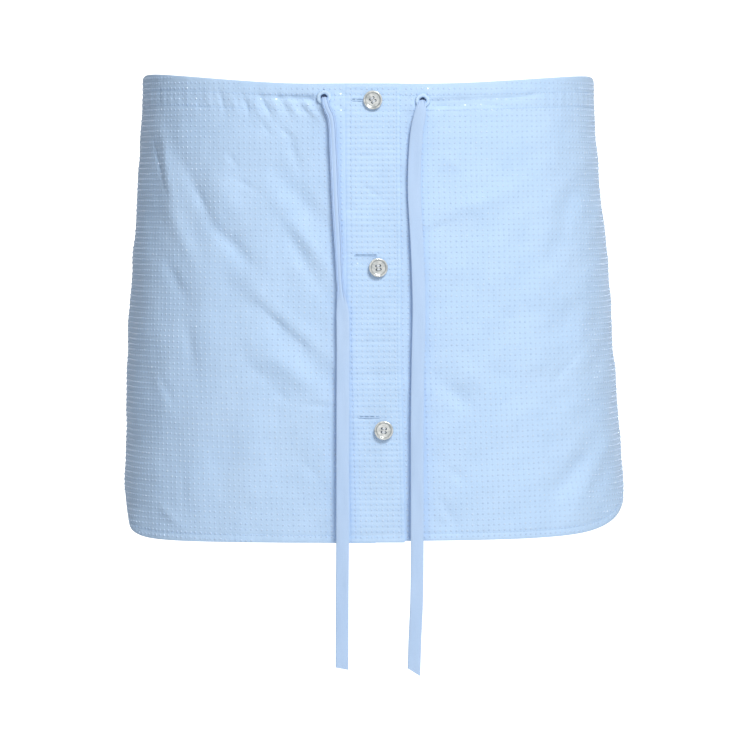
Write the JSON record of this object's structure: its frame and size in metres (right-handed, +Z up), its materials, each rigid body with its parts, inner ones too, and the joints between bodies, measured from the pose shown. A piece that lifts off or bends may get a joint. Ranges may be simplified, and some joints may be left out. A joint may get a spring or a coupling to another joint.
{
  "type": "skort",
  "caption": "Short A-line button-front skort in its worn shape, with a drawstring casing, rounded side hems, hanging ties and shorts inside.",
  "frame": {"origin": "middle of the waist opening, level with the highest stretch of the waist edge, where the wearer's waist holds the garment", "axes": "+Z up, the front faces -Y, +X towards the wearer's left side; millimetre sizes in the source, metres here"},
  "size_m": [0.3435, 0.2357, 0.4046],
  "materials": {
    "studded_cotton": "light-blue cotton poplin set all over with tiny clear stones in rows",
    "plain_cotton": "plain light-blue cotton poplin",
    "tie_cotton": "plain light-blue cotton folded and edge-stitched",
    "thread": "light-blue sewing thread, closely overcast",
    "button": "pearly pale grey, glossy"
  },
  "bodies": {
    "root": {"front_right": "studded_cotton", "front_left": "studded_cotton", "back": "studded_cotton", "button_band": "studded_cotton", "shorts_right": "plain_cotton", "shorts_left": "plain_cotton", "button_top": "button", "button_middle": "button", "button_bottom": "button", "eyelet_right": "thread", "eyelet_left": "thread", "tie_right": "tie_cotton", "tie_left": "tie_cotton"}
  },
  "joints": []
}
